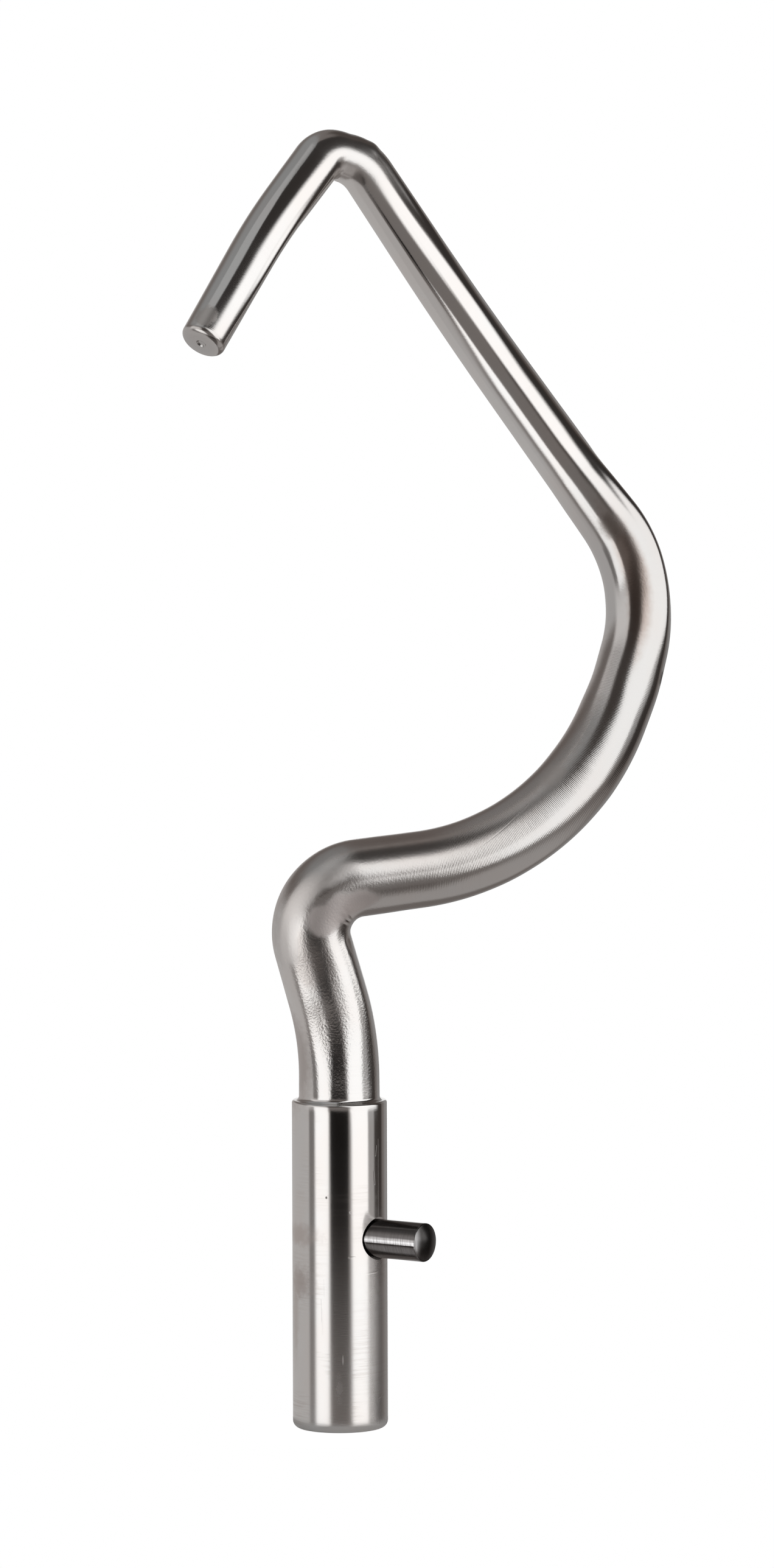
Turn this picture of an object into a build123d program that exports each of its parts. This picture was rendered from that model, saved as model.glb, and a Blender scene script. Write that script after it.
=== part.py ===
from build123d import *
import os

# A dough hook for a stand mixer: one steel bar, turned to a taper and bent in space, and a drive pin
# pressed into its shank. Millimetres. The origin is the centre of the shank's free end. +Z runs up
# the shank towards the hook, -Y is the front and +X is the side that the arm swings to.

# The shank, which a mixer's socket takes
SHANK_D = 16.0
SHANK_LENGTH = 55.5  # from the free end to the shoulder
SHANK_END_R = 1.25  # rounding around the free end
SHOULDER_STEP = 1.2  # how far the shoulder stands out past the bar
SHOULDER_EDGE_R = 0.35 * SHOULDER_STEP  # its outer edge is broken
SHOULDER_HOLLOW_R = 0.55 * SHOULDER_STEP  # its inner corner is hollow

# The drive pin, pressed into a blind hole across the shank
PIN_D = 6.5
PIN_HEIGHT = 32.6  # its axis, above the free end
PIN_TURN = -35.0  # degrees round from +X, so that it points to the front
PIN_OUT = 9.5  # how far its rim stands out of the shank's skin
PIN_DEPTH = 10.5  # how far it goes in below the skin
PIN_EDGE_R = 0.2
PIN_DOME = 0.6
PIN_RING_GAP = 0.35  # clearance all round the pin in the mouth of its hole
PIN_RING_DEPTH = 1.6  # how deep that clearance goes below the skin

# The bar before it is bent: its diameter at each turned size, and the length from the top of the hollow
NECK_D = SHANK_D - 2 * SHOULDER_STEP
ARM_D, ARM_AT = 12.4, 86.0
BACK_D, BACK_AT = 9.8, 142.0
TIP_D = 7.65
TIP_EDGE_R = 1.2  # the rim is rounded over
TIP_EDGE_TURN = 66.0  # degrees of that rounding, before the flat end cuts it off

# The bends: where the bar's middle line would turn a sharp corner (across, deep, above the shoulder),
# and the radius that it is bent to there
LEAN, LEAN_R = (0.0, 0.0, 10.7), 44.0  # the neck rises from the shank and leans out to the front
KNEE, KNEE_R = (-7.1, -4.7, 36.4), 8.8  # and turns sharply into the arm
SWING, SWING_R = (39.0, 6.5, 41.5), 42.8  # the arm swings up
CHEEK, CHEEK_R = (53.6, 18.0, 84.9), 26.0  # and back over itself
BACK, BACK_R = (20.6, 17.5, 131.2), 142.0  # the back is bowed a little
CREST, CREST_R = (4.0, 11.3, 156.6), 8.2  # the crown folds over in two turns
FOLD, FOLD_R = (-1.9, 8.0, 158.7), 5.0  # with a short flat between them
BEAK, BEAK_R = (-11.6, -3.3, 145.9), 110.0  # and the beak droops
TIP = (-21.8, -15.8, 128.3)  # where the rim of the turned end starts


def middle_line():
    """The bar's bent middle line: straight runs joined by arcs, from the shoulder's hollow to the tip."""
    start = (0.0, 0.0, SHOULDER_HOLLOW_R)
    corners = [LEAN, KNEE, SWING, CHEEK, BACK, CREST, FOLD, BEAK]
    radii = [LEAN_R, KNEE_R, SWING_R, CHEEK_R, BACK_R, CREST_R, FOLD_R, BEAK_R]
    points = [(x, y, SHANK_LENGTH + z) for x, y, z in [start, *corners, TIP]]
    return FilletPolyline(*points, radius=radii).wire()


def bar_diameter(at, length):
    """Diameter of the turned bar at a length from its start: three tapers, each a straight cone."""
    sizes = [(0.0, NECK_D), (ARM_AT, ARM_D), (BACK_AT, BACK_D), (length, TIP_D)]
    for (low, wide), (high, narrow) in zip(sizes, sizes[1:]):
        if at <= high:
            return wide + (narrow - wide) * (at - low) / (high - low)
    return TIP_D


def stretches(line):
    """Each straight or round stretch of the middle line, cut where the taper changes, with its diameters."""
    start = 0.0
    for edge in line.order_edges():
        inside = [at for at in (ARM_AT, BACK_AT) if start < at < start + edge.length]
        marks = [start, *inside, start + edge.length]
        for low, high in zip(marks, marks[1:]):
            piece = edge.trim((low - start) / edge.length, (high - start) / edge.length)
            yield piece, bar_diameter(low, line.length), bar_diameter(high, line.length)
        start += edge.length


def bar_stretch(edge, first_d, last_d):
    """One stretch of the bar: a cone on a straight run, and a swept, tapering round section on a bend."""
    if edge.geom_type == GeomType.LINE:
        return Solid.make_cone(first_d / 2, last_d / 2, edge.length, Plane(edge @ 0, z_dir=edge % 0))
    across = edge.normal()
    first = Plane(edge @ 0, x_dir=across, z_dir=edge % 0) * Circle(first_d / 2)
    last = Plane(edge @ 1, x_dir=across, z_dir=edge % 1) * Circle(last_d / 2)
    return sweep([first, last], path=edge, multisection=True)


def tip_end():
    """The beak's end, standing on the XY plane: a rounded rim, cut off by a flat face."""
    rim = JernArc((TIP_D / 2, 0), (0, 1), TIP_EDGE_R, TIP_EDGE_TURN)
    outline = rim + Polyline(rim @ 1, (0, (rim @ 1).Y), (0, 0), rim @ 0)
    return revolve(Plane.XZ * make_face(outline), Axis.Z)


def pin_end():
    """The pin's free end, standing on the XY plane: a broken rim and a low dome."""
    rim = PIN_D / 2 - PIN_EDGE_R
    ball = (rim**2 + PIN_DOME**2) / (2 * PIN_DOME)
    halfway = (ball**2 - (rim / 2) ** 2) ** 0.5 - ball + PIN_DOME
    outline = Polyline((0, PIN_EDGE_R + PIN_DOME), (0, 0), (PIN_D / 2, 0))
    outline += JernArc((PIN_D / 2, 0), (0, 1), PIN_EDGE_R, 90)
    dome = ThreePointArc((rim, PIN_EDGE_R), (rim / 2, PIN_EDGE_R + halfway), (0, PIN_EDGE_R + PIN_DOME))
    return revolve(Plane.XZ * make_face(outline + dome), Axis.Z)


def shank():
    """The turned shank with its rounded end, and the shoulder with its hollow corner up to the neck."""
    radius, neck = SHANK_D / 2, NECK_D / 2
    top = SHANK_LENGTH
    outline = Polyline((0, top + SHOULDER_HOLLOW_R), (0, 0), (radius - SHANK_END_R, 0))
    outline += JernArc((radius - SHANK_END_R, 0), (1, 0), SHANK_END_R, 90)
    outline += Line((radius, SHANK_END_R), (radius, top - SHOULDER_EDGE_R))
    outline += JernArc((radius, top - SHOULDER_EDGE_R), (0, 1), SHOULDER_EDGE_R, 90)
    outline += Line((radius - SHOULDER_EDGE_R, top), (neck + SHOULDER_HOLLOW_R, top))
    outline += JernArc((neck + SHOULDER_HOLLOW_R, top), (-1, 0), SHOULDER_HOLLOW_R, -90)
    outline += Line((neck, top + SHOULDER_HOLLOW_R), (0, top + SHOULDER_HOLLOW_R))
    return revolve(Plane.XZ * make_face(outline), Axis.Z)


def pin_plane(out):
    """The plane across the pin's axis, at a distance out from the shank's axis."""
    turned = Rot(0, 0, PIN_TURN) * Pos(out, 0, PIN_HEIGHT) * Rot(0, 90, 0)
    return Plane(turned)


def make_hook():
    """The bent bar with its shank, less the hole that the pin is pressed into."""
    line = middle_line()
    bar = [bar_stretch(*stretch) for stretch in stretches(line)]
    skin = SHANK_D / 2
    hole = pin_plane(skin - PIN_DEPTH) * extrude(Circle(PIN_D / 2), PIN_DEPTH + PIN_OUT)
    mouth = Circle(PIN_D / 2 + PIN_RING_GAP)
    ring = pin_plane(skin - PIN_RING_DEPTH) * extrude(mouth, PIN_RING_DEPTH + PIN_OUT)
    end = Plane(line @ 1, z_dir=line % 1) * tip_end()
    return shank() + bar + end - hole - ring


def make_drive_pin():
    """The drive pin, from the bottom of its hole to its domed free end."""
    body = PIN_DEPTH + PIN_OUT - PIN_EDGE_R
    pin = extrude(Circle(PIN_D / 2), body) + Pos(0, 0, body) * pin_end()
    return pin_plane(SHANK_D / 2 - PIN_DEPTH) * pin


def main():
    """Writes each piece to its own file."""
    os.makedirs("parts", exist_ok=True)
    for name, piece in (("hook", make_hook()), ("drive_pin", make_drive_pin())):
        export_step(piece, f"parts/{name}.step")


main()
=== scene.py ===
"""The looks of a stand mixer's dough hook: a bent bar of bright steel and its drive pin, in a small studio.

Lengths are millimetres until a mesh is made, and metres after that. The frame is the solids' own: the
origin is the centre of the shank's free end, +Z runs up the shank and the camera stands on the -Y side.
A place on the bar is its run, the length along the bar from the shoulder (below 0 on the shank), and its
clock, the degrees around the bar from +X, where -90 faces the camera on the shank.
"""

from __future__ import annotations

import logging
import math
from dataclasses import dataclass
from enum import Enum
from typing import Any, Callable, Iterator, Sequence, Union

import bpy
import numpy as np
from mathutils import Matrix, Vector
from mathutils.kdtree import KDTree


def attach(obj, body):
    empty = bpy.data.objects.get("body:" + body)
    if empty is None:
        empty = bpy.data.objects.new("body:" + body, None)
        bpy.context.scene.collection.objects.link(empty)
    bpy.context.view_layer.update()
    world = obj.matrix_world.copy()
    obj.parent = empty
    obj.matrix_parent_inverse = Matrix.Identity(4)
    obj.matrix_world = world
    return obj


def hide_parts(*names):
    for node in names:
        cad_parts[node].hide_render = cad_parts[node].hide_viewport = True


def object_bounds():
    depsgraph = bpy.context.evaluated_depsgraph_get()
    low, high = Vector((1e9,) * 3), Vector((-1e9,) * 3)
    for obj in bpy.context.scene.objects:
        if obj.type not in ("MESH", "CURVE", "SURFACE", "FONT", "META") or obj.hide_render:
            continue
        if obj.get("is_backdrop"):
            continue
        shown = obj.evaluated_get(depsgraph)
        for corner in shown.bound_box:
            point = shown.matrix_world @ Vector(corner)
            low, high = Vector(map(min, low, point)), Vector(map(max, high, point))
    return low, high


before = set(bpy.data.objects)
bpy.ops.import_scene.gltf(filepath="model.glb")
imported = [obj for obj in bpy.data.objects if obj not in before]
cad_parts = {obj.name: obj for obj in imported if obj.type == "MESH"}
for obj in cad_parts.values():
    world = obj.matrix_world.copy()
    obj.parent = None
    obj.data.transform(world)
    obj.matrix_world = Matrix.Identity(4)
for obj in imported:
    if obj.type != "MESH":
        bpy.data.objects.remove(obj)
CAD_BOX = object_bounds()

log = logging.getLogger("dough_hook")

MM = 0.001
IMAGE_SIZE = (1272, 2576)
STRAIGHT = "straight"
DEGREES = 180 / math.pi
WARM_RED, WARM_BLUE = 1.3, 0.6

Colour = tuple[float, float, float, float]
Point = tuple[float, float, float]
Number = Union[float, int, "Sock"]


def grey(level: float, warmth: float = 0.0) -> Colour:
    """A grey of that level, browner where warmth is above 0."""
    return (level * (1 + WARM_RED * warmth), level, level * (1 - WARM_BLUE * warmth), 1.0)


class Slot(Enum):
    """The record's material slots."""

    HOOK = "hook_steel"
    PIN = "pin_steel"


class Ray(Enum):
    """The kinds of ray that see the white card and the white floor."""

    CAMERA = "Is Camera Ray"
    GLOSSY = "Is Glossy Ray"
    TRANSMISSION = "Is Transmission Ray"


class Sock:
    """A value in a shader, whose arithmetic adds Math nodes."""

    def __init__(self, graph: Graph, socket: bpy.types.NodeSocket) -> None:
        """Wraps an output socket of a node in that graph."""
        self.graph = graph
        self.socket = socket

    def _math(self, operation: str, first: Number, second: Number = 0.0) -> Sock:
        """Adds one Math node on two values."""
        return self.graph.add("ShaderNodeMath", {"operation": operation}, {0: first, 1: second})

    def __add__(self, other: Number) -> Sock:
        """self + other."""
        return self._math("ADD", self, other)

    def __radd__(self, other: Number) -> Sock:
        """other + self."""
        return self._math("ADD", other, self)

    def __sub__(self, other: Number) -> Sock:
        """self - other."""
        return self._math("SUBTRACT", self, other)

    def __rsub__(self, other: Number) -> Sock:
        """other - self."""
        return self._math("SUBTRACT", other, self)

    def __mul__(self, other: Number) -> Sock:
        """self * other."""
        return self._math("MULTIPLY", self, other)

    def __rmul__(self, other: Number) -> Sock:
        """other * self."""
        return self._math("MULTIPLY", other, self)

    def __truediv__(self, other: Number) -> Sock:
        """self / other."""
        return self._math("DIVIDE", self, other)

    def __neg__(self) -> Sock:
        """-self."""
        return self._math("MULTIPLY", self, -1.0)

    def __abs__(self) -> Sock:
        """The value without its sign."""
        return self._math("ABSOLUTE", self)

    def sine(self) -> Sock:
        """The sine of an angle in radians."""
        return self._math("SINE", self)

    def elevation(self) -> Sock:
        """The angle in degrees that has this sine."""
        return self._math("ARCSINE", self) * DEGREES

    def angle(self, other: Number) -> Sock:
        """The angle in degrees, from the other value's axis towards this one's."""
        return self._math("ARCTAN2", self, other) * DEGREES

    def up_to(self, other: Number) -> Sock:
        """The lower of the two."""
        return self._math("MINIMUM", self, other)


class Graph:
    """The node tree of a material or of the world."""

    def __init__(self, tree: bpy.types.NodeTree) -> None:
        """Empties the tree."""
        self.tree = tree
        tree.nodes.clear()

    def add(
        self,
        kind: str,
        settings: dict[str, Any] | None = None,
        inputs: dict[str | int, Any] | None = None,
        output: str | int = 0,
    ) -> Sock:
        """Adds a node.

        Args:
            kind: The node's type.
            settings: What is set on the node first. "stops" holds a ramp's positions and colours.
            inputs: A value or a link for each socket, by name or by number.
            output: The output socket that is wanted.

        Returns:
            That output.
        """
        node = self.tree.nodes.new(kind)
        for name, value in (settings or {}).items():
            if name == "stops":
                self._set_stops(node.color_ramp, value)
            else:
                setattr(node, name, value)
        for name, value in (inputs or {}).items():
            if isinstance(value, Sock):
                self.tree.links.new(value.socket, node.inputs[name])
            else:
                node.inputs[name].default_value = value
        return Sock(self, node.outputs[output]) if node.outputs else Sock(self, None)

    @staticmethod
    def _set_stops(ramp: bpy.types.ColorRamp, stops: Sequence[tuple[float, Colour]]) -> None:
        """Gives a ramp its stops, which run from left to right."""
        while len(ramp.elements) < len(stops):
            ramp.elements.new(1.0)
        for element, (position, colour) in zip(ramp.elements, stops):
            element.position = position
            element.color = colour

    def parts(self, vector: Sock) -> tuple[Sock, Sock, Sock]:
        """The three values of a vector."""
        outputs = self.add("ShaderNodeSeparateXYZ", {}, {0: vector}).socket.node.outputs
        return tuple(Sock(self, outputs[axis]) for axis in "XYZ")

    def scaled(self, vector: Sock, by: Point) -> Sock:
        """A vector stretched along its three axes."""
        return self.add("ShaderNodeVectorMath", {"operation": "MULTIPLY"}, {0: vector, 1: by})

    def away(self, vector: Sock, centre: Point, sizes: Point) -> Sock:
        """How far a point is from a centre: 1 on an egg with those half sizes."""
        offset = self.add("ShaderNodeVectorMath", {"operation": "SUBTRACT"}, {0: vector, 1: centre})
        shares = self.scaled(offset, tuple(1 / size for size in sizes))
        return self.add("ShaderNodeVectorMath", {"operation": "LENGTH"}, {0: shares}, "Value")

    def noise(self, vector: Sock, detail: float = 2.0, roughness: float = 0.5) -> Sock:
        """A cloud of values around 0.5, one cell to each unit."""
        inputs = {"Vector": vector, "Scale": 1.0, "Detail": detail, "Roughness": roughness}
        return self.add("ShaderNodeTexNoise", {}, inputs, "Fac")

    def step(self, value: Number, low: float, high: float) -> Sock:
        """A smooth step from 0 at low to 1 at high."""
        inputs = {"Value": value, "From Min": low, "From Max": high}
        return self.add("ShaderNodeMapRange", {"interpolation_type": "SMOOTHSTEP"}, inputs)

    def ramp(self, value: Sock, stops: Sequence[tuple[float, float]]) -> Sock:
        """A value that follows stops of (position, level), joined by straight lines.

        Args:
            value: What the stops' positions are on.
            stops: Positions in rising order, with a level from 0 to 1 each.

        Returns:
            The level.
        """
        first, last = stops[0][0], stops[-1][0]
        place = (value - first) / (last - first)
        shades = [((at - first) / (last - first), grey(level)) for at, level in stops]
        return self.add("ShaderNodeValToRGB", {"stops": shades}, {0: place})

    def mix(self, factor: Number, first: Any, second: Any) -> Sock:
        """A colour between two colours."""
        inputs = {"Factor": factor, 6: first, 7: second}
        return self.add("ShaderNodeMix", {"data_type": "RGBA"}, inputs, 2)

    def rays(self) -> dict[Ray, Sock]:
        """What kind of ray is being followed: 1 or 0 for each kind."""
        outputs = self.add("ShaderNodeLightPath").socket.node.outputs
        return {kind: Sock(self, outputs[kind.value]) for kind in Ray}


def new_material(name: str) -> tuple[bpy.types.Material, Graph]:
    """Makes an empty material, and the graph of its nodes."""
    material = bpy.data.materials.new(name)
    material.use_nodes = True
    return material, Graph(material.node_tree)


@dataclass(frozen=True)
class Patch:
    """A rubbed or stained place on the bar, or a place of painted light or shade, with half sizes along and
    across it.
    """

    run: float
    clock: float
    length: float
    width: float
    tone: Colour
    strength: float
    roughness: float
    edge: float = 0.3
    ragged: float = 0.5

    def mask(self, g: Graph, straight: Sock, cloud: Sock, radius: float) -> Sock:
        """Where the patch is.

        Args:
            g: The material's graph.
            straight: The place on the straight bar.
            cloud: Noise that breaks up the patch's edge.
            radius: The bar's radius there.

        Returns:
            1 inside and 0 outside.
        """
        turn = math.radians(self.clock)
        centre = (radius * math.cos(turn), radius * math.sin(turn), self.run)
        away = g.away(straight, centre, (self.width, self.width, self.length))
        return 1.0 - g.step(away + (cloud - 0.5) * self.ragged, 1 - self.edge, 1 + self.edge)


@dataclass(frozen=True)
class Scratch:
    """A fine line on the bar, from one (run, clock) to another."""

    start: tuple[float, float]
    end: tuple[float, float]
    width: float
    depth: float
    core: float = 0.3

    def mask(self, g: Graph, run: Sock, clock: Sock, radius: float) -> Sock:
        """Where the scratch is.

        Args:
            g: The material's graph.
            run: The place along the bar.
            clock: The place around it.
            radius: The bar's radius there.

        Returns:
            1 on the line and 0 away from it.
        """
        arc = math.radians(radius)
        along = (self.end[0] - self.start[0], (self.end[1] - self.start[1]) * arc)
        length = math.hypot(*along)
        onwards, aside = along[0] / length, along[1] / length
        u, v = run - self.start[0], (clock - self.start[1]) * arc
        off = abs(u * aside - v * onwards)
        at = u * onwards + v * aside
        started = g.step(at, -self.width, self.width)
        ended = g.step(at, length - self.width, length + self.width)
        beside = g.step(off, self.core * self.width, self.width)
        return started * (1.0 - ended) * (1.0 - beside)


@dataclass(frozen=True)
class BarSteel:
    """Bright stainless steel, turned, bent and then finished by hand, so that it differs along the bar,
    with painted shade and painted highlights in its colour in places.
    """

    warm: Colour = (0.80, 0.775, 0.755, 1.0)
    cool: Colour = (0.80, 0.795, 0.785, 1.0)
    tarnish: Colour = (0.50, 0.44, 0.40, 1.0)
    black: Colour = (0.0, 0.0, 0.0, 1.0)
    rib_pitch: float = 0.27
    rib_depth: float = 0.0040
    hair_depth: float = 0.0050
    grain_depth: float = 0.0012
    rib_wander: float = 4.0
    peel_depth: float = 0.030
    smear_tone: float = 0.4
    smear_roughness: float = 0.08
    cloud_roughness: float = 0.05
    past_ends: float = 10.0
    patches: tuple[Patch, ...] = (
        # A darker, browner tone on top of the arm and on the left of the neck
        Patch(66.0, -175.0, 37.0, 5.6, (0.55, 0.50, 0.475, 1.0), 0.9, 0.25, 0.35, 0.5),
        Patch(8.0, -172.0, 9.0, 4.4, (0.50, 0.455, 0.43, 1.0), 0.8, 0.20, 0.4, 0.5),
        # The matt, pinkish patch inside the knee, and the darker facet below it
        Patch(31.8, -77.0, 2.6, 2.7, (0.74, 0.69, 0.675, 1.0), 0.85, 0.50, 0.25, 0.4),
        Patch(35.2, -64.0, 3.6, 2.6, (0.74, 0.69, 0.675, 1.0), 0.85, 0.50, 0.25, 0.4),
        Patch(39.2, -55.0, 4.4, 2.1, (0.74, 0.69, 0.675, 1.0), 0.85, 0.50, 0.25, 0.4),
        Patch(25.5, -101.0, 4.6, 2.6, (0.72, 0.67, 0.64, 1.0), 0.6, 0.24, 0.25, 0.5),
        # A painted highlight around the outside of the knee: the tone is whiter there and the steel
        # rougher, standing in for a band of reflected light
        Patch(28.5, -127.0, 3.0, 1.5, (0.97, 0.95, 0.93, 1.0), 0.9, 0.42, 0.5, 0.4),
        Patch(31.8, -127.0, 2.6, 1.7, (0.99, 0.97, 0.95, 1.0), 1.0, 0.46, 0.5, 0.4),
        Patch(34.8, -121.0, 2.6, 1.9, (1.0, 0.98, 0.96, 1.0), 1.0, 0.52, 0.5, 0.4),
        Patch(38.0, -113.0, 2.8, 1.8, (1.0, 0.98, 0.96, 1.0), 1.0, 0.48, 0.5, 0.4),
        # Rougher, greyer stretches on the arm, and a dark spot at its end
        Patch(58.0, -124.0, 22.0, 2.6, (0.68, 0.63, 0.60, 1.0), 0.5, 0.27, 0.6, 0.4),
        Patch(81.0, -137.0, 2.8, 2.2, (0.62, 0.58, 0.55, 1.0), 0.5, 0.36, 0.3, 0.8),
        Patch(105.8, -23.0, 1.3, 1.2, (0.22, 0.20, 0.19, 1.0), 0.9, 0.4, 0.4, 0.9),
        # Painted reflection on the cheek: a dark brown streak and a darker spot in the tone stand in for
        # dark things that the steel reflects
        Patch(121.0, -104.0, 13.0, 1.9, (0.44, 0.34, 0.29, 1.0), 0.7, 0.15, 0.5, 0.5),
        Patch(131.3, -110.0, 2.2, 1.6, (0.20, 0.17, 0.15, 1.0), 0.6, 0.3, 0.5, 0.7),
        # The worn place at the end of the beak
        Patch(254.0, -23.0, 2.0, 1.7, (0.66, 0.62, 0.59, 1.0), 0.8, 0.36, 0.2, 1.2),
        # Stains, pits and specks on the shank
        Patch(-22.3, -150.0, 1.6, 4.0, (0.56, 0.49, 0.45, 1.0), 0.6, 0.24, 0.7, 1.4),
        Patch(-30.3, -148.0, 2.2, 2.6, (0.50, 0.44, 0.41, 1.0), 0.7, 0.26, 0.7, 1.4),
        Patch(-35.3, -160.0, 7.0, 1.2, (0.60, 0.54, 0.50, 1.0), 0.6, 0.24, 0.8, 1.2),
        Patch(-40.0, -29.0, 17.0, 3.4, (0.80, 0.77, 0.75, 1.0), 0.3, 0.33, 0.7, 0.8),
        Patch(-15.6, -106.0, 0.20, 0.16, (0.14, 0.13, 0.12, 1.0), 0.9, 0.4, 0.4, 0.3),
        Patch(-18.1, -77.0, 0.25, 0.20, (0.75, 0.73, 0.71, 1.0), 0.9, 0.5, 0.4, 0.3),
        Patch(-43.0, -86.5, 0.8, 0.14, (0.82, 0.80, 0.78, 1.0), 0.8, 0.4, 0.5, 0.8),
        Patch(-47.8, -91.0, 2.0, 0.5, (0.80, 0.77, 0.75, 1.0), 0.3, 0.3, 0.6, 2.6),
    )
    scratches: tuple[Scratch, ...] = (
        Scratch((60.5, -99.0), (73.8, -125.0), 0.16, 0.010),
        Scratch((-21.8, -36.3), (-6.0, -36.3), 0.16, 0.012),
        Scratch((-7.1, -39.7), (-8.9, -41.0), 0.14, 0.010),
        Scratch((-11.5, -44.0), (-13.7, -42.6), 0.14, 0.010),
        Scratch((-49.9, -36.0), (-49.3, -20.0), 0.16, 0.012),
        Scratch((-46.9, -34.0), (-47.7, -26.0), 0.14, 0.010),
        Scratch((-25.7, -79.0), (-25.7, -70.0), 0.20, 0.008),
        Scratch((-32.7, -113.5), (-36.8, -113.0), 0.12, 0.008),
        Scratch((-34.3, -111.5), (-38.8, -111.0), 0.12, 0.008),
        Scratch((-29.3, -109.0), (-32.3, -108.6), 0.12, 0.006),
        Scratch((-28.7, -66.0), (-28.5, -38.0), 0.18, 0.006),
    )

    def material(
        self, name: str, shank_length: float, length: float, radius: Callable[[float], float]
    ) -> bpy.types.Material:
        """Makes the material.

        Args:
            name: The material's name.
            shank_length: How far the shank goes below the shoulder.
            length: How far the bar goes past it.
            radius: Gives the radius at a run.

        Returns:
            The material, for a mesh that has the place on the straight bar as an attribute.
        """
        material, g = new_material(name)
        straight = g.add("ShaderNodeAttribute", {"attribute_name": STRAIGHT}, output="Vector")
        x, y, run = g.parts(straight)
        clock = y.angle(x)
        ends = (-shank_length - self.past_ends, length + self.past_ends)

        satin = g.ramp(run, [
            (ends[0], 0.20), (-shank_length, 0.20), (-30.0, 0.16), (-10.0, 0.13), (-1.0, 0.11), (1.0, 0.14),
            (12.0, 0.17), (22.0, 0.20), (40.0, 0.20), (48.0, 0.16), (100.0, 0.15), (128.0, 0.15),
            (145.0, 0.11), (196.0, 0.10), (204.0, 0.22), (210.0, 0.24), (217.0, 0.14), (228.0, 0.10),
            (length - 8.0, 0.11), (length, 0.18), (ends[1], 0.28),
        ])
        # Painted shade: the tone is darkened towards black along the arm and the cheek, and on the tip's
        # end face
        painted_shade = g.ramp(run, [
            (ends[0], 0.0), (24.0, 0.0), (38.0, 0.14), (130.0, 0.16), (146.0, 0.0), (length, 0.0),
            (length + 1.2, 0.25), (ends[1], 0.25),
        ])
        ribbed = g.ramp(run, [
            (ends[0], 0.0), (42.0, 0.0), (58.0, 0.5), (80.0, 0.7), (100.0, 0.3), (115.0, 0.0),
            (length - 1.0, 0.0), (length + 1.5, 0.6), (ends[1], 0.6),
        ])
        brushed = g.ramp(run, [
            (ends[0], 1.0), (-shank_length, 1.0), (-30.0, 0.6), (-1.0, 0.3), (1.0, 0.1), (ends[1], 0.1),
        ])
        peel = g.ramp(run, [
            (ends[0], 0.0), (-1.0, 0.03), (2.0, 0.5), (10.0, 1.0), (20.0, 0.9), (46.0, 0.35), (80.0, 0.22),
            (120.0, 0.2), (145.0, 0.06), (200.0, 0.06), (206.0, 0.4), (216.0, 0.25), (226.0, 0.06),
            (ends[1], 0.1),
        ])
        clouds = g.noise(g.scaled(straight, (0.10, 0.10, 0.05)), 3.0, 0.6)
        ragged = g.noise(g.scaled(straight, (0.8, 0.8, 0.8)), 3.0, 0.6)
        grain = g.noise(g.scaled(straight, (6.0, 6.0, 4.0)), 2.0)
        hair = g.noise(g.scaled(straight, (0.5, 0.5, 9.0)), 3.0)
        bumps = g.noise(g.scaled(straight, (2.8, 2.8, 2.8)), 2.0)
        wander = g.noise(g.scaled(straight, (0.3, 0.3, 1.2)), 1.0)
        ribs = (run * (2 * math.pi / self.rib_pitch) + wander * self.rib_wander).sine()
        smear = g.step(g.noise(g.scaled(straight, (0.16, 0.16, 3.0)), 4.0, 0.6), 0.42, 0.72)
        smear = smear * g.step(g.noise(g.scaled(straight, (0.12, 0.12, 0.10)), 1.0), 0.42, 0.62) * brushed

        tone = g.mix(g.step(clouds, 0.35, 0.65), self.warm, self.cool)
        tone = g.mix(smear * self.smear_tone, tone, self.tarnish)
        # The painted shade darkens the tone
        tone = g.mix(painted_shade, tone, self.black)
        roughness = satin + (clouds - 0.5) * self.cloud_roughness + smear * self.smear_roughness
        height = ribs * ribbed * self.rib_depth + hair * brushed * self.hair_depth
        height = height + grain * self.grain_depth + bumps * peel * self.peel_depth
        for patch in self.patches:
            mask = patch.mask(g, straight, ragged, radius(patch.run))
            tone = g.mix(mask * patch.strength, tone, patch.tone)
            roughness = roughness + (patch.roughness - roughness) * mask
        for scratch in self.scratches:
            height = height - scratch.mask(g, run, clock, radius(scratch.start[0])) * scratch.depth
        bump = g.add("ShaderNodeBump", {}, {"Strength": 1.0, "Distance": MM, "Height": height})
        inputs = {"Base Color": tone, "Metallic": 1.0, "Roughness": roughness, "Normal": bump}
        shader = g.add("ShaderNodeBsdfPrincipled", {}, inputs)
        g.add("ShaderNodeOutputMaterial", {}, {"Surface": shader})
        return material


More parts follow.
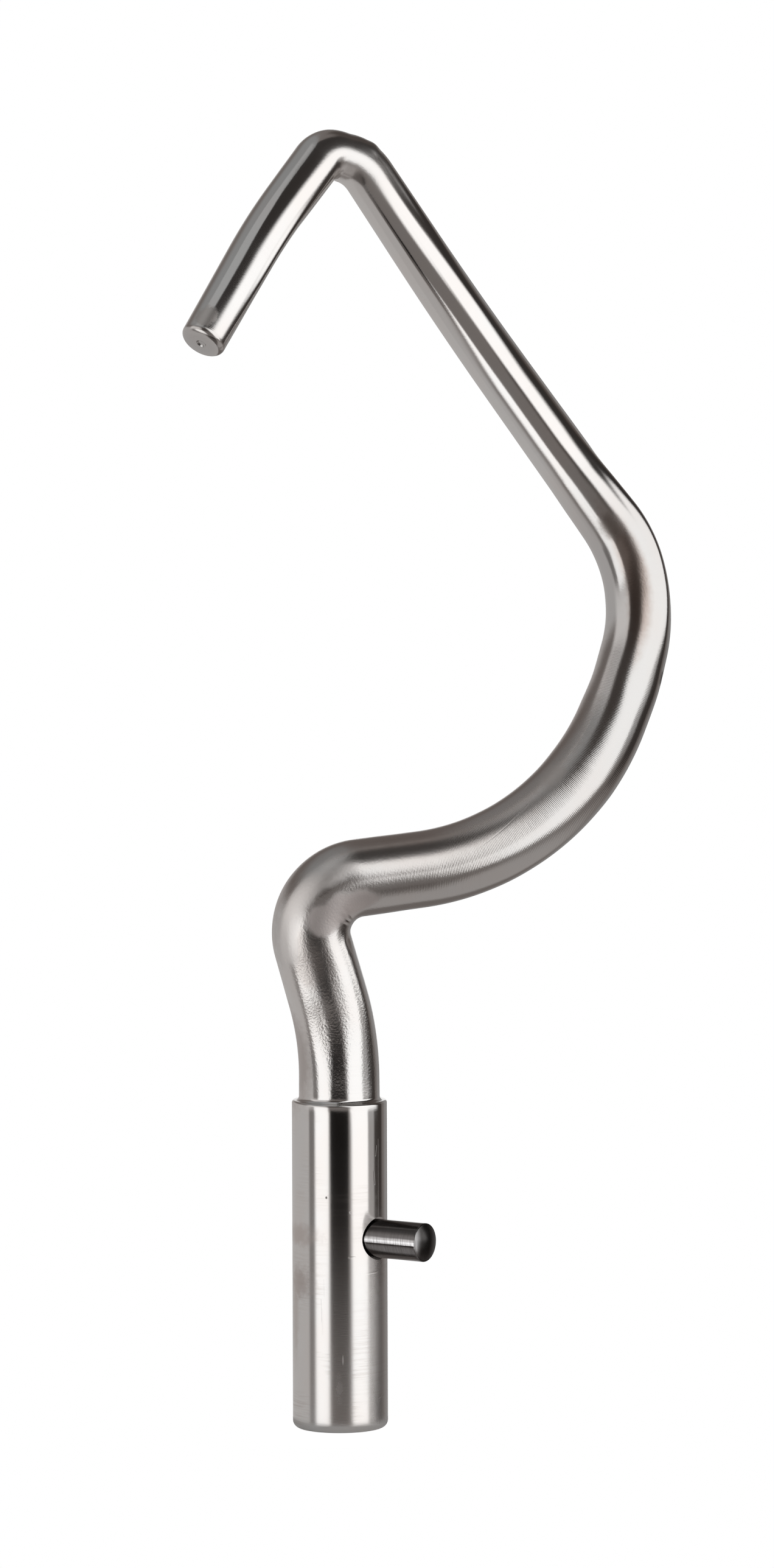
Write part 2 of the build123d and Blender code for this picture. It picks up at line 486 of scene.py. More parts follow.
@dataclass(frozen=True)
class PinSteel:
    """Hard, ground steel, darker than the bar, with painted highlights and shade in its colour: bright and
    dark bands along its side, a lighter crescent on its end and a darker end face.
    """

    dark: Colour = (0.105, 0.095, 0.092, 1.0)
    # The colour of the painted highlights, and the end face's tone, darkened as painted shade
    bright: Colour = (0.90, 0.90, 0.91, 1.0)
    painted_face_shade: Colour = (0.042, 0.038, 0.036, 1.0)
    roughness: float = 0.17
    cloud_roughness: float = 0.1
    face_roughness: float = 0.06
    ring_depth: float = 0.007
    line_depth: float = 0.0016
    line_wander: float = 0.08
    # How strong the painted highlight bands are, and how much ring noise breaks them up
    band_highlight: float = 0.9
    highlight_rings: float = 1.2
    wear_slope: float = 0.10
    rim: tuple[float, float] = (-0.25, 0.05)
    face_clouds: float = 0.10
    # Where the painted highlight crescent on the end face lies, and how light it is
    crescent: tuple[float, float] = (0.45, 1.05)
    crescent_highlight: float = 0.5

    def material(self, name: str, radius: float, end: float, heading: Vector) -> bpy.types.Material:
        """Makes the material.

        Args:
            name: The material's name.
            radius: The pin's radius.
            end: How far the rim of its free end is from the shank's axis.
            heading: The way that the pin points.

        Returns:
            The material, for a mesh that has the place on the straight pin as an attribute, with x upwards.
        """
        material, g = new_material(name)
        straight = g.add("ShaderNodeAttribute", {"attribute_name": STRAIGHT}, output="Vector")
        up, left, out = g.parts(straight)
        clouds = g.noise(g.scaled(straight, (0.6, 0.6, 0.6)), 4.0, 0.6)
        rings = g.noise(g.scaled(straight, (0.4, 0.4, 5.0)), 3.0)
        lengthwise = g.noise(g.scaled(straight, (4.0, 4.0, 0.25)), 3.0)
        # Painted highlights and shade: the tone goes from dark to bright and back with the height on the
        # pin, standing in for bands of reflected light
        level = up / radius + (lengthwise - 0.5) * self.line_wander
        band = g.ramp(level, [
            (-1.0, 0.02), (-0.80, 0.05), (-0.56, 0.12), (-0.46, 0.22), (-0.17, 0.25), (-0.14, 0.02),
            (-0.11, 0.02), (-0.08, 0.90), (0.05, 1.0), (0.18, 0.85), (0.26, 0.15), (0.50, 0.10),
            (0.64, 0.02), (0.70, 0.02), (0.76, 0.14), (0.88, 0.10), (0.93, 0.01), (1.0, 0.0),
        ])
        side = 1.0 - g.step(out, end + self.rim[0], end + self.rim[1])
        # The end face: random clouds, and a painted highlight crescent on one side
        face = clouds * self.face_clouds + g.step(left / radius, *self.crescent) * self.crescent_highlight
        painted_highlight = band * side * (self.band_highlight + (rings - 0.5) * self.highlight_rings) + (1.0 - side) * face
        # The painted highlights mix the tone towards bright, over the end face's painted shade
        tone = g.mix(painted_highlight, g.mix(side, self.painted_face_shade, self.dark), self.bright)
        slope = g.add(
            "ShaderNodeVectorMath", {"operation": "SCALE"},
            {0: tuple(heading), "Scale": band * side * self.wear_slope},
        )
        upright = g.add("ShaderNodeNewGeometry", output="Normal")
        normal = g.add("ShaderNodeVectorMath", {"operation": "ADD"}, {0: upright, 1: slope})
        leaning = g.add("ShaderNodeVectorMath", {"operation": "NORMALIZE"}, {0: normal})
        height = rings * self.ring_depth + lengthwise * self.line_depth
        inputs = {"Strength": 1.0, "Distance": MM, "Height": height, "Normal": leaning}
        bump = g.add("ShaderNodeBump", {}, inputs)
        roughness = self.roughness + (clouds - 0.5) * self.cloud_roughness
        roughness = roughness + (1.0 - side) * self.face_roughness
        inputs = {"Base Color": tone, "Metallic": 1.0, "Roughness": roughness, "Normal": bump}
        shader = g.add("ShaderNodeBsdfPrincipled", {}, inputs)
        g.add("ShaderNodeOutputMaterial", {}, {"Surface": shader})
        return material


@dataclass(frozen=True)
class Ring:
    """A round section of a skin: its centre, the way it faces, its radius and its place along the bar."""

    centre: Vector
    heading: Vector
    radius: float
    run: float


@dataclass(frozen=True)
class Bend:
    """Where the bar's middle line would turn a sharp corner, and the radius it is bent to there."""

    corner: Point
    radius: float


@dataclass(frozen=True)
class Dent:
    """A place where the skin lies lower than the round section, or higher if the depth is below 0."""

    run: float
    clock: float
    length: float
    width: float
    depth: float

    def depths(self, runs: np.ndarray, clocks: np.ndarray) -> np.ndarray:
        """How deep the dent is.

        Args:
            runs: The place of each section along the bar.
            clocks: The degrees around a section of each of its points.

        Returns:
            The depth for each section and point, in millimetres.
        """
        along = np.clip((runs - self.run) / self.length, -1.0, 1.0)
        across = np.clip(((clocks - self.clock + 180.0) % 360.0 - 180.0) / self.width, -1.0, 1.0)
        return self.depth * np.outer(np.cos(along * math.pi / 2) ** 2, np.cos(across * math.pi / 2) ** 2)


class MiddleLine:
    """Straight runs joined by arcs, from a start to an end, through bends."""

    ARC_STEP = math.radians(3.0)

    def __init__(self, start: Point, bends: Sequence[Bend], end: Point) -> None:
        """Lays the line.

        Args:
            start: The line's first point.
            bends: Its corners, in order.
            end: Its last point.
        """
        self.start = Vector(start)
        self.bends = list(bends)
        self.end = Vector(end)

    def stations(self, step: float) -> Iterator[tuple[Vector, Vector, float]]:
        """Walks the line.

        Args:
            step: The longest step, in millimetres. A tight arc has shorter ones.

        Yields:
            A point, the line's heading there and the length up to it.
        """
        corners = [Vector(bend.corner) for bend in self.bends]
        here, run = self.start, 0.0
        for number, bend in enumerate(self.bends):
            corner = corners[number]
            ahead = (corners[number + 1] if number + 1 < len(corners) else self.end) - corner
            heading, leaving = (corner - here).normalized(), ahead.normalized()
            turn = heading.angle(leaving)
            tangent = bend.radius * math.tan(turn / 2)
            straight = (corner - here).length - tangent
            count = max(1, math.ceil(straight / step))
            for index in range(count):
                along = straight * index / count
                yield here + heading * along, heading, run + along
            run += straight
            first = corner - heading * tangent
            inward = (leaving - heading * heading.dot(leaving)).normalized()
            count = max(math.ceil(bend.radius * turn / step), math.ceil(turn / self.ARC_STEP))
            for index in range(count):
                angle = turn * index / count
                aside = inward * (bend.radius * (1 - math.cos(angle)))
                point = first + heading * (bend.radius * math.sin(angle)) + aside
                yield point, heading * math.cos(angle) + inward * math.sin(angle), run + bend.radius * angle
            run += bend.radius * turn
            here = corner + leaving * tangent
        heading, straight = (self.end - here).normalized(), (self.end - here).length
        count = max(1, math.ceil(straight / step))
        for index in range(count + 1):
            along = straight * index / count
            yield here + heading * along, heading, run + along


class Skin:
    """A closed mesh over rings, with each point's place on the bar before it was bent."""

    def __init__(self, rings: Sequence[Ring], segments: int, side: Point = (1.0, 0.0, 0.0)) -> None:
        """Lays out the points.

        Args:
            rings: The sections in order. The first and the last are closed by a point in their middle.
            segments: The number of points around a section.
            side: Where the clock starts on the first section.
        """
        self.rings = list(rings)
        self.segments = segments
        self.clock = np.arange(segments) * (2 * math.pi / segments)
        self.centres = np.array([ring.centre for ring in self.rings])
        self.radii = np.array([[ring.radius] * segments for ring in self.rings])
        self.runs = np.array([ring.run for ring in self.rings])
        sides, acrosses = [], []
        start, last = Vector(side), self.rings[0].heading
        for ring in self.rings:
            start = last.rotation_difference(ring.heading) @ start
            last = ring.heading
            sides.append(start.copy())
            acrosses.append(ring.heading.cross(start))
        self.sides, self.acrosses = np.array(sides), np.array(acrosses)

    def points(self) -> np.ndarray:
        """The points of each section, in millimetres."""
        along = self.sides[:, None, :] * np.cos(self.clock)[None, :, None]
        across = self.acrosses[:, None, :] * np.sin(self.clock)[None, :, None]
        return self.centres[:, None, :] + (along + across) * self.radii[:, :, None]

    def straight(self) -> np.ndarray:
        """The same points on the straight bar, in millimetres."""
        x, y = self.radii * np.cos(self.clock), self.radii * np.sin(self.clock)
        z = np.repeat(self.runs[:, None], self.segments, axis=1)
        return np.stack([x, y, z], axis=-1)

    def faces(self) -> list[tuple[int, ...]]:
        """The corners of each face: quads along the skin and a fan at each end."""
        count, last = self.segments, len(self.rings) - 1
        found = []
        for row in range(last):
            for column in range(count):
                beside = (column + 1) % count
                low, high = row * count, (row + 1) * count
                found.append((low + column, low + beside, high + beside, high + column))
        bottom, top = (last + 1) * count, (last + 1) * count + 1
        for column in range(count):
            beside = (column + 1) % count
            found.append((beside, column, bottom))
            found.append((last * count + column, last * count + beside, top))
        return found

    def make(self, name: str) -> bpy.types.Object:
        """Makes the mesh and its object, in metres."""
        points = np.concatenate([self.points().reshape(-1, 3), self.centres[[0, -1]]])
        middle = np.array([[0.0, 0.0, self.runs[0]], [0.0, 0.0, self.runs[-1]]])
        straight = np.concatenate([self.straight().reshape(-1, 3), middle])
        mesh = bpy.data.meshes.new(name)
        mesh.from_pydata((points * MM).tolist(), [], self.faces())
        attribute = mesh.attributes.new(STRAIGHT, "FLOAT_VECTOR", "POINT")
        attribute.data.foreach_set("vector", straight.astype(np.float32).ravel())
        mesh.shade_smooth()
        thing = bpy.data.objects.new(name, mesh)
        bpy.context.scene.collection.objects.link(thing)
        return thing


def quarter(radius: float, turn: float, count: int) -> Iterator[tuple[float, float]]:
    """Walks a rounded edge.

    Args:
        radius: The edge's radius.
        turn: How many degrees it turns through.
        count: The number of steps.

    Yields:
        How far in and how far on each point is from the edge's first point.
    """
    for index in range(1, count + 1):
        angle = math.radians(turn) * index / count
        yield radius * (1 - math.cos(angle)), radius * math.sin(angle)


@dataclass
class DrivePin:
    """The pin that is pressed into a blind hole across the shank."""

    diameter: float = 6.5
    height: float = 32.6
    turn: float = -35.0
    out: float = 9.5
    depth: float = 10.5
    edge_radius: float = 0.2
    dome: float = 0.6
    ring_gap: float = 0.35
    ring_depth: float = 1.6
    segments: int = 96
    foot_shares: tuple[float, ...] = (0.3, 0.7, 1.0)
    body_steps: int = 40
    edge_steps: int = 6
    dome_shares: tuple[float, ...] = (0.95, 0.85, 0.7, 0.5, 0.3, 0.1)
    sharp: float = 30.0
    name: str = "pressed_pin"

    def _heading(self) -> Vector:
        """The way that the pin points."""
        return Vector((math.cos(math.radians(self.turn)), math.sin(math.radians(self.turn)), 0.0))

    def _ring(self, out: float, radius: float) -> Ring:
        """A section of the pin, at a distance out from the shank's axis."""
        return Ring(Vector((0.0, 0.0, self.height)) + self._heading() * out, self._heading(), radius, out)

    def _skin(self, rings: Sequence[Ring]) -> Skin:
        """A skin over sections of the pin, whose clock starts at the top."""
        return Skin(rings, self.segments, (0.0, 0.0, 1.0))

    def cutter(self, skin: float) -> bpy.types.Object:
        """Makes the form of the hole and its mouth.

        Args:
            skin: The shank's radius.

        Returns:
            An object to cut the hook with.
        """
        hole, mouth = self.diameter / 2, self.diameter / 2 + self.ring_gap
        bottom, step, top = skin - self.depth, skin - self.ring_depth, skin + self.out
        sizes = [(bottom, hole), (step, hole), (step, mouth), (top, mouth)]
        return self._skin([self._ring(out, radius) for out, radius in sizes]).make("pin_hole")

    def make(self, skin: float) -> bpy.types.Object:
        """Makes the pin.

        Args:
            skin: The shank's radius.

        Returns:
            The pin's object, dressed.
        """
        radius, rim = self.diameter / 2, self.diameter / 2 - self.edge_radius
        foot, shoulder = skin - self.depth, skin + self.out - self.edge_radius
        rings = [self._ring(foot, radius * share) for share in self.foot_shares]
        for index in range(1, self.body_steps + 1):
            rings.append(self._ring(foot + (shoulder - foot) * index / self.body_steps, radius))
        for inwards, onwards in quarter(self.edge_radius, 90.0, self.edge_steps):
            rings.append(self._ring(shoulder + onwards, radius - inwards))
        ball = (rim**2 + self.dome**2) / (2 * self.dome)
        for share in self.dome_shares:
            rise = math.sqrt(ball**2 - (rim * share) ** 2) - ball + self.dome
            rings.append(self._ring(shoulder + self.edge_radius + rise, rim * share))
        pin = self._skin(rings).make(self.name)
        pin.data.set_sharp_from_angle(angle=math.radians(self.sharp))
        steel = PinSteel().material("ground_steel", radius, skin + self.out, self._heading())
        pin.data.materials.append(steel)
        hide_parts("drive_pin")
        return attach(pin, "root")


@dataclass
class Hook:
    """The hook: a turned shank with a shoulder, and the tapered bar that is bent above it."""

    shank_diameter: float = 16.0
    shank_length: float = 55.5
    end_radius: float = 1.25
    shoulder_step: float = 1.2
    shoulder_edge: float = 0.42
    shoulder_hollow: float = 0.66
    arm: tuple[float, float] = (86.0, 12.4)
    back: tuple[float, float] = (142.0, 9.8)
    tip_diameter: float = 7.65
    tip_edge: float = 1.2
    tip_edge_turn: float = 66.0
    pip_radius: float = 0.9
    pip_depth: float = 0.35
    pip_profile: tuple[tuple[float, float], ...] = ((0.85, 0.35), (0.65, 0.75), (0.4, 0.95), (0.15, 1.0))
    wave: float = 0.02
    wave_shares: tuple[tuple[float, float], ...] = (
        (0.5, 0.0), (14.0, 0.5), (24.0, 1.0), (44.0, 1.0), (60.0, 0.5), (100.0, 0.6), (118.0, 1.0),
        (136.0, 1.0), (150.0, 0.2), (200.0, 0.15), (208.0, 0.8), (218.0, 0.7), (226.0, 0.15),
    )
    wave_end: float = 2.0
    segments: int = 120
    step: float = 0.4
    foot_shares: tuple[float, ...] = (0.1, 0.4, 0.7, 0.9, 1.0)
    foot_steps: int = 10
    shank_steps: int = 52
    edge_steps: int = 6
    hollow_steps: int = 8
    tip_steps: int = 8
    face_margin: float = 0.1
    sharp: float = 20.0
    name: str = "steel_hook"
    bends: tuple[Bend, ...] = (
        Bend((0.0, 0.0, 10.7), 44.0),  # the neck leans out
        Bend((-7.1, -4.7, 36.4), 8.8),  # the knee
        Bend((39.0, 6.5, 41.5), 42.8),  # the arm swings up
        Bend((53.6, 18.0, 84.9), 26.0),  # the cheek
        Bend((20.6, 17.5, 131.2), 142.0),  # the back is bowed
        Bend((4.0, 11.3, 156.6), 8.2),  # the crown folds over in two turns
        Bend((-1.9, 8.0, 158.7), 5.0),
        Bend((-11.6, -3.3, 145.9), 110.0),  # the beak droops
    )
    end: Point = (-21.8, -15.8, 128.3)
    dents: tuple[Dent, ...] = (
        # The neck
        Dent(6.0, -42.5, 10.7, 58.2, 0.19),
        Dent(14.8, -131.1, 15.7, 30.3, -0.46),
        Dent(19.5, -37.2, 18.1, 38.2, -0.50),
        # The knee, and the folds inside it
        Dent(27.0, -98.0, 10.0, 50.0, 0.35),
        Dent(26.3, -28.0, 3.0, 9.0, 0.12),
        Dent(32.8, -30.0, 0.8, 32.0, 0.10),
        Dent(34.4, -38.0, 0.7, 28.0, 0.10),
        Dent(35.9, -43.0, 0.7, 24.0, 0.08),
        # The arm bulges to one side before the cheek
        Dent(103.0, -20.0, 6.0, 60.0, -0.25),
        Dent(103.0, 160.0, 6.0, 60.0, 0.25),
        # The cheek
        Dent(121.5, -86.6, 24.0, 41.0, 0.64),
        Dent(125.7, -72.8, 24.0, 60.8, -0.80),
        Dent(130.5, -45.7, 20.2, 19.8, -0.57),
        Dent(127.5, -117.0, 3.2, 28.0, -0.05),
        # The back, below the crown
        Dent(196.2, -95.0, 22.1, 40.5, 0.26),
        Dent(197.4, -58.6, 24.0, 33.7, 0.46),
        # The step in the crown's outline
        Dent(209.9, -8.0, 3.0, 60.0, 0.20),
        Dent(206.3, -17.0, 1.1, 45.0, -0.18),
        # The beak
        Dent(236.0, -113.2, 24.0, 22.3, -0.22),
        Dent(242.6, -13.5, 21.0, 68.7, 0.20),
    )

    def __post_init__(self) -> None:
        """Lays the bar's middle line."""
        line = MiddleLine((0.0, 0.0, self.shoulder_hollow), self.bends, self.end)
        self.stations = list(line.stations(self.step))
        self.length = self.stations[-1][2]

    def radius(self, run: float) -> float:
        """The radius at a length from the start of the bar: the shank and three tapers."""
        if run < 0.0:
            return self.shank_diameter / 2
        neck = self.shank_diameter - 2 * self.shoulder_step
        places = [0.0, self.arm[0], self.back[0], self.length]
        return float(np.interp(run, places, [neck, self.arm[1], self.back[1], self.tip_diameter])) / 2

    def _shank_rings(self) -> Iterator[Ring]:
        """The sections of the shank, from the middle of its free end up to the shoulder's hollow."""
        radius, top = self.shank_diameter / 2, self.shank_length
        neck = radius - self.shoulder_step
        sizes = [(share * (radius - self.end_radius), 0.0) for share in self.foot_shares]
        flat = radius - self.end_radius
        for inwards, onwards in quarter(self.end_radius, 90.0, self.foot_steps):
            sizes.append((flat + onwards, inwards))
        low, high = self.end_radius, top - self.shoulder_edge
        for index in range(1, self.shank_steps + 1):
            sizes.append((radius, low + (high - low) * index / self.shank_steps))
        for inwards, onwards in quarter(self.shoulder_edge, 90.0, self.edge_steps):
            sizes.append((radius - inwards, high + onwards))
        for inwards, onwards in quarter(self.shoulder_hollow, 90.0, self.hollow_steps):
            sizes.append((neck + self.shoulder_hollow - onwards, top + inwards))
        for size, z in sizes[:-1]:
            yield Ring(Vector((0.0, 0.0, z)), Vector((0.0, 0.0, 1.0)), size, z - top)

    def _bar_rings(self) -> Iterator[Ring]:
        """The sections of the bar, from the shoulder's hollow to the pip in the tip's flat end."""
        lift = Vector((0.0, 0.0, self.shank_length))
        for point, heading, run in self.stations:
            yield Ring(point + lift, heading, self.radius(run), run)
        end, heading = self.stations[-1][0] + lift, self.stations[-1][1]
        radius, onwards, travelled = self.tip_diameter / 2, 0.0, self.length
        for inwards, onwards in quarter(self.tip_edge, self.tip_edge_turn, self.tip_steps):
            travelled = self.length + onwards
            face = radius - inwards
            yield Ring(end + heading * onwards, heading, face, travelled)
        for size in np.linspace(face - self.face_margin, self.pip_radius, self.tip_steps):
            yield Ring(end + heading * onwards, heading, float(size), travelled + face - float(size))
        for share, sink in self.pip_profile:
            size, depth = self.pip_radius * share, self.pip_depth * sink
            yield Ring(end + heading * (onwards - depth), heading, size, travelled + face - size)

    def _shape(self, skin: Skin) -> None:
        """Presses the dents in, and gives the bends the uneven skin of a bar bent by hand."""
        clocks = np.degrees(skin.clock)
        for dent in self.dents:
            skin.radii -= dent.depths(skin.runs, clocks)
        runs = skin.runs
        places, shares = zip(*self.wave_shares, (self.length - self.wave_end, 0.0))
        share = np.interp(runs, places, shares) * (runs < self.length)
        # Slow waves that don't repeat along the bar, and one that winds round it
        swell = np.sin(runs * 0.43 + 1.7 * np.sin(runs * 0.17)) + 0.3 * np.sin(runs * 0.95 + 2.0)
        around = np.cos(skin.clock[None, :] * 2 + runs[:, None] * 0.37 + 0.8)
        skin.radii += self.wave * (share * swell)[:, None] * (0.5 + 0.5 * around)

    def make(self, pin: DrivePin) -> bpy.types.Object:
        """Makes the hook.

        Args:
            pin: The pin, whose hole is cut in the shank.

        Returns:
            The hook's object, dressed.
        """
        skin = Skin([*self._shank_rings(), *self._bar_rings()], self.segments)
        self._shape(skin)
        hook = self._cut(skin, pin)
        hook.data.set_sharp_from_angle(angle=math.radians(self.sharp))
        hook.data.materials.clear()
        steel = BarSteel().material("bar_steel", self.shank_length, self.length, self.radius)
        hook.data.materials.append(steel)
        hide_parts("hook")
        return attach(hook, "root")

    def _cut(self, skin: Skin, pin: DrivePin) -> bpy.types.Object:
        """Makes the skin's mesh with the pin's hole in it.

        Args:
            skin: The hook's skin.
            pin: The pin.

        Returns:
            The object. The hole's points have their place on the straight bar too.
        """
        hook, cutter = skin.make(self.name), pin.cutter(self.shank_diameter / 2)
        modifier = hook.modifiers.new("hole", "BOOLEAN")
        modifier.operation, modifier.object, modifier.solver = "DIFFERENCE", cutter, "EXACT"
        depsgraph = bpy.context.evaluated_depsgraph_get()
        mesh = bpy.data.meshes.new_from_object(hook.evaluated_get(depsgraph))
        tree = KDTree(len(hook.data.vertices))
        for vertex in hook.data.vertices:
            tree.insert(vertex.co, vertex.index)
        tree.balance()
        whole = [Vector(item.vector) for item in hook.data.attributes[STRAIGHT].data]
        attribute = mesh.attributes.get(STRAIGHT) or mesh.attributes.new(STRAIGHT, "FLOAT_VECTOR", "POINT")
        lift = Vector((0.0, 0.0, self.shank_length))
        for vertex in mesh.vertices:
            on_shank = vertex.co.z < (self.shank_length - self.shoulder_edge) * MM
            place = vertex.co / MM - lift if on_shank else whole[tree.find(vertex.co)[1]]
            attribute.data[vertex.index].vector = place
        hook.modifiers.clear()
        hook.data = mesh
        bpy.data.objects.remove(cutter)
        return hook


@dataclass(frozen=True)
class Panel:
    """A stretch of the studio as the object sees it, in degrees round from the camera and degrees up.

    An edge that is None is open. The lean is how far the left and right edges move left for each degree up,
    and the tilt how far the upper and lower edges move down for each degree round. The left and right edges
    are as soft as the upper and lower ones unless those have a fade of their own.
    """

    name: str
    level: float
    left: float | None = None
    right: float | None = None
    low: float | None = None
    high: float | None = None
    soft: float = 6.0
    lean: float = 0.0
    tilt: float = 0.0
    warmth: float = 0.03
    fade: float | None = None

    def mask(self, g: Graph, around: Sock, above: Sock) -> Number:
        """Where the panel is: 1 inside its edges and 0 outside."""
        found: Number = 1.0
        sideways = around + above * self.lean if self.lean else around
        upwards = above + around * self.tilt if self.tilt else above
        fade = self.soft if self.fade is None else self.fade
        edges = ((sideways, self.left, self.right, self.soft), (upwards, self.low, self.high, fade))
        for value, first, last, soft in edges:
            if first is not None:
                found = g.step(value, first - soft, first + soft) * found
            if last is not None:
                found = (1.0 - g.step(value, last - soft, last + soft)) * found
        return found


@dataclass
class Studio:
    """The floor, the panels around it, the dark card, the overhead lamp and the camera."""

    target: Point = (8.15, 0.0, 108.61)
    elevation: float = 5.1
    roll: float = -0.17
    distance: float = 1527.7
    focal_pixels: float = 15000.0
    sensor: float = 36.0
    clip: tuple[float, float] = (0.01, 20.0)
    floor_radius: float = 15.0
    floor_middle: float = 2.0
    floor_thickness: float = 1.0
    floor_segments: int = 96
    floor_drop: float = 0.05
    floor_tone: float = 0.6
    floor_roughness: float = 0.9
    floor_glow: float = 0.86
    floor_in_metal: float = 0.1
    card: float = 12.0
    card_soft: float = 2.0
    lamp_place: Point = (-330.0, -180.0, 1090.0)
    lamp_size: float = 500.0
    lamp_radiance: float = 0.12
    panels: tuple[Panel, ...] = (
        Panel("room", 0.16, warmth=0.10),
        Panel("ceiling", 0.27, -165.0, 10.0, 40.0, None, 10.0, warmth=0.0),
        Panel("left_wall", 0.46, None, -70.0, None, 16.0, 9.0),
        Panel("left_table", 0.42, -90.0, -36.0, None, -36.0, 5.0),
        Panel("left_screen", 0.70, -88.0, -33.0, 1.0, 36.0, 7.0, fade=11.0),
        Panel("right_table", 0.36, 47.0, 142.0, None, -34.0, 8.0, warmth=0.05),
        Panel("right_gap", 0.035, 92.0, 124.0, -24.0, 60.0, 5.0, warmth=0.16),
        Panel("right_wall", 0.06, 121.0, 172.0, 24.0, 60.0, 8.0, warmth=0.16),
        Panel("backdrop_edge", 0.27, 138.0, None, -30.0, 22.0, 8.0),
        Panel("right_softbox_foot", 1.22, 25.0, 76.0, -22.0, 0.0, 5.0, warmth=0.01, fade=3.0),
        Panel("camera_wall", 0.045, -28.0, 24.0, 8.0, 46.0, warmth=0.16),
        Panel("camera_side", 0.165, -38.0, 23.5, -34.0, 6.0, 5.5, lean=0.7, warmth=0.08, fade=3.5),
        Panel("camera_floor", 0.09, -36.0, 39.0, None, -36.0, 6.0, warmth=0.10),
        Panel("left_gap", 0.17, -79.0, -61.0, -26.0, -4.0, 2.5, warmth=0.06),
        Panel("right_screen", 0.33, 74.0, 93.0, -14.0, -2.5, 2.5),
        Panel("left_softbox", 1.2, -64.5, -28.0, -31.0, 2.0, 4.0, lean=0.35, warmth=0.01, fade=3.0),
        Panel("right_softbox", 1.22, 30.5, 103.0, -2.5, 60.0, 6.0, lean=0.53, warmth=0.01, fade=3.0),
        Panel("upper_flag", 0.03, -10.0, 110.0, 57.0, None, 6.0, tilt=0.34, warmth=0.10),
    )
    flag_away: float = 208.0
    flag_width: float = 200.0
    flag_level: float = 0.004
    flag_warmth: float = 0.1
    flag_margin: float = 2.0
    flag_sides: tuple[float, float] = (72.0, 94.0)
    flag_foot: tuple[float, float] = (-34.0, 12.0)
    flag_top: tuple[float, float] = (38.0, 47.0)

    def room(self) -> bpy.types.World:
        """Makes the room: white for the camera, and panels and a small white card behind for the metal."""
        world = bpy.data.worlds.new("studio")
        bpy.context.scene.world = world
        world.use_nodes = True
        g = Graph(world.node_tree)
        x, y, z = g.parts(g.add("ShaderNodeTexCoord", output="Generated"))
        around, above = x.angle(-y), z.elevation()
        tone: Any = grey(0.0)
        for panel in self.panels:
            tone = g.mix(panel.mask(g, around, above), tone, grey(panel.level, panel.warmth))
        outer, inner = self.card + self.card_soft, self.card - self.card_soft
        card = g.step(y, math.cos(math.radians(outer)), math.cos(math.radians(inner)))
        rays = g.rays()
        seen = (rays[Ray.CAMERA] + (rays[Ray.GLOSSY] + rays[Ray.TRANSMISSION]) * card).up_to(1.0)
        colour = g.mix(seen, tone, (1.0, 1.0, 1.0, 1.0))
        light = g.add("ShaderNodeBackground", {}, {"Color": colour, "Strength": 1.0})
        g.add("ShaderNodeOutputWorld", {}, {"Surface": light})
        return world

    def lamp(self) -> bpy.types.Object:
        """Makes the overhead softbox, which gives the shadow on the floor."""
        lamp = bpy.data.lights.new("overhead_softbox", "AREA")
        lamp.shape = "SQUARE"
        lamp.size = self.lamp_size * MM
        lamp.energy = self.lamp_radiance * math.pi * lamp.size**2
        thing = bpy.data.objects.new("overhead_softbox", lamp)
        thing.location = Vector(self.lamp_place) * MM
        way = Vector(self.target) - Vector(self.lamp_place)
        thing.rotation_euler = way.to_track_quat("-Z", "Y").to_euler()
        bpy.context.scene.collection.objects.link(thing)
        return thing

    def floor(self) -> bpy.types.Object:
        """Makes the floor: a pale disc that is white for the camera and still takes the shadow."""
        middle, rim, below = self.floor_middle, self.floor_radius, self.floor_thickness
        down = Vector((0.0, 0.0, -1.0))
        rings = []
        for radius, drop in ((middle, 0.0), (rim, 0.0), (rim, below), (middle, below)):
            rings.append(Ring(down * (self.floor_drop + drop), down, radius, 0.0))
        disc = Skin(rings, self.floor_segments).make("floor")
        material, g = new_material("pale_floor")
        rays = g.rays()
        seen = rays[Ray.CAMERA] + (rays[Ray.GLOSSY] + rays[Ray.TRANSMISSION]) * self.floor_in_metal
        glow = g.mix(seen.up_to(1.0), grey(0.0), grey(1.0))
        shader = g.add("ShaderNodeBsdfPrincipled", {}, {
            "Base Color": grey(self.floor_tone), "Roughness": self.floor_roughness,
            "Emission Color": glow, "Emission Strength": self.floor_glow,
        })
        g.add("ShaderNodeOutputMaterial", {}, {"Surface": shader})
        disc.data.materials.append(material)
        disc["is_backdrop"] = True
        return disc

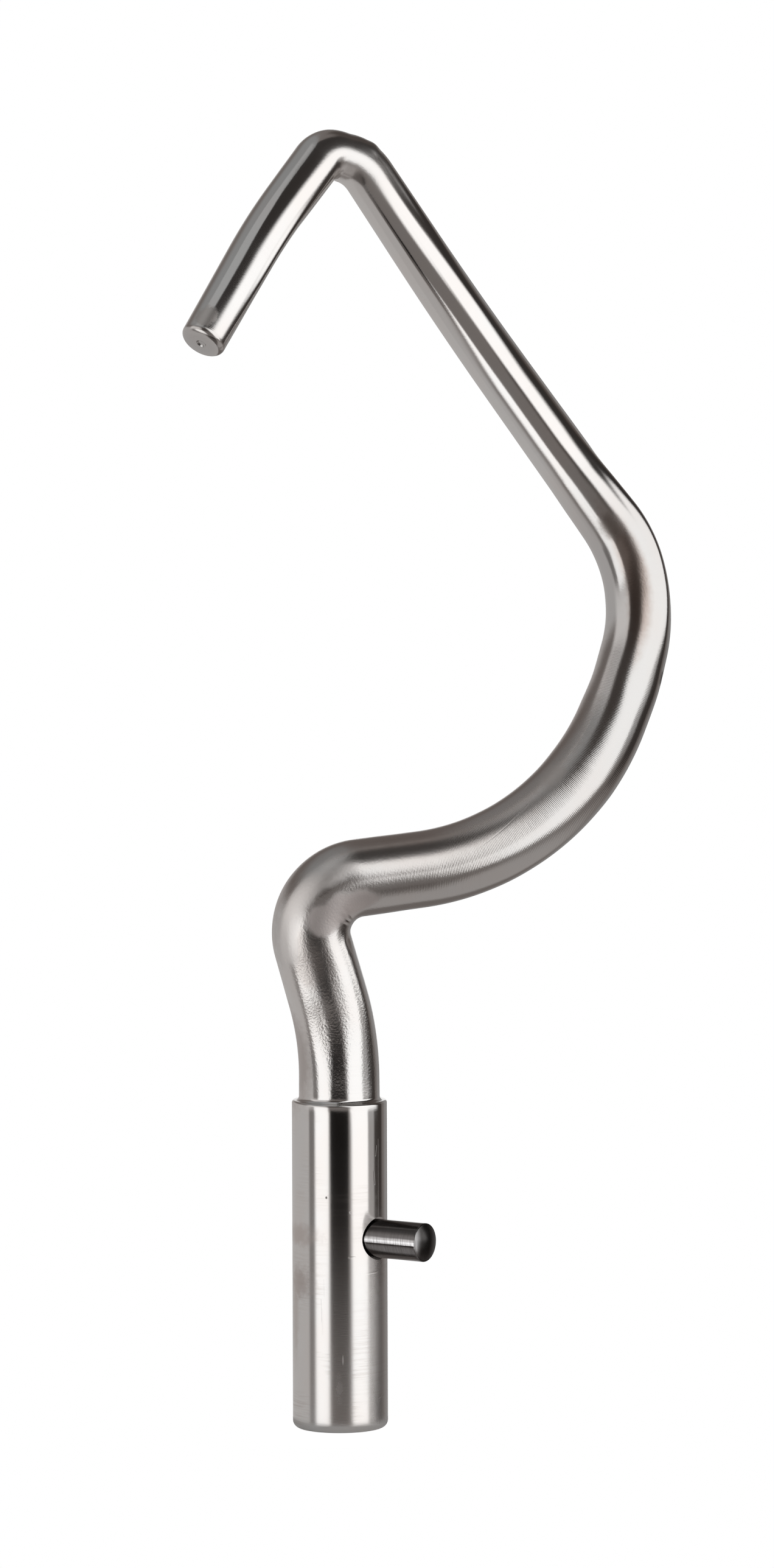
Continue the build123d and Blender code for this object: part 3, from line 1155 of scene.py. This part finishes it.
    def flag(self) -> bpy.types.Object:
        """Makes the dark card that stands in front of the shank. Only the steel's reflections show it."""
        half = self.flag_width / 2
        low, high = self.flag_foot[0] - self.flag_margin, self.flag_top[1] + self.flag_margin
        corners = [(-half, low), (half, low), (half, high), (-half, high)]
        mesh = bpy.data.meshes.new("front_flag")
        mesh.from_pydata([(x * MM, -self.flag_away * MM, z * MM) for x, z in corners], [], [(0, 1, 2, 3)])
        material, g = new_material("dark_card")
        x, _, z = g.parts(g.scaled(g.add("ShaderNodeTexCoord", output="Object"), (1 / MM, 1 / MM, 1 / MM)))
        across = 1.0 - g.step(abs(x), *self.flag_sides)
        upwards = g.step(z, *self.flag_foot) * (1.0 - g.step(z, *self.flag_top))
        dark = g.add("ShaderNodeEmission", {}, {"Color": grey(self.flag_level, self.flag_warmth)})
        clear = g.add("ShaderNodeBsdfTransparent")
        card = g.add("ShaderNodeMixShader", {}, {0: across * upwards, 1: clear, 2: dark})
        g.add("ShaderNodeOutputMaterial", {}, {"Surface": card})
        mesh.materials.append(material)
        flag = bpy.data.objects.new("front_flag", mesh)
        flag.visible_camera = flag.visible_diffuse = flag.visible_shadow = False
        bpy.context.scene.collection.objects.link(flag)
        flag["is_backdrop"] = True
        return flag

    def camera(self) -> bpy.types.Object:
        """Makes the camera, where the photograph was taken from."""
        data = bpy.data.cameras.new("camera")
        data.sensor_width = self.sensor
        data.lens = self.sensor * self.focal_pixels / max(IMAGE_SIZE)
        data.clip_start, data.clip_end = self.clip
        thing = bpy.data.objects.new("camera", data)
        down = math.radians(self.elevation)
        way = Vector((0.0, math.cos(down), -math.sin(down)))
        tilt = Matrix.Rotation(math.radians(90.0) - down, 3, "X")
        turn = tilt @ Matrix.Rotation(math.radians(self.roll), 3, "Z")
        place = Vector(self.target) - way * self.distance
        thing.matrix_world = Matrix.Translation(place * MM) @ turn.to_4x4()
        bpy.context.scene.collection.objects.link(thing)
        bpy.context.scene.camera = thing
        return thing


def main() -> None:
    """Builds the hook, its pin and the studio."""
    logging.basicConfig(level=logging.INFO, format="%(name)s: %(message)s")
    pin, hook = DrivePin(), Hook()
    for piece in (hook.make(pin), pin.make(hook.shank_diameter / 2)):
        log.info("%s: %d faces", piece.name, len(piece.data.polygons))
    studio = Studio()
    studio.room()
    for thing in (studio.camera(), studio.floor(), studio.flag(), studio.lamp()):
        log.info("%s at %s", thing.name, tuple(round(value, 3) for value in thing.location))
    bpy.context.scene.view_settings.view_transform = "Standard"
    boxes = {"cad": CAD_BOX, "visual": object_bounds()}
    {name: [list(corner) for corner in box] for name, box in boxes.items()}


if __name__ == "__main__":
    main()
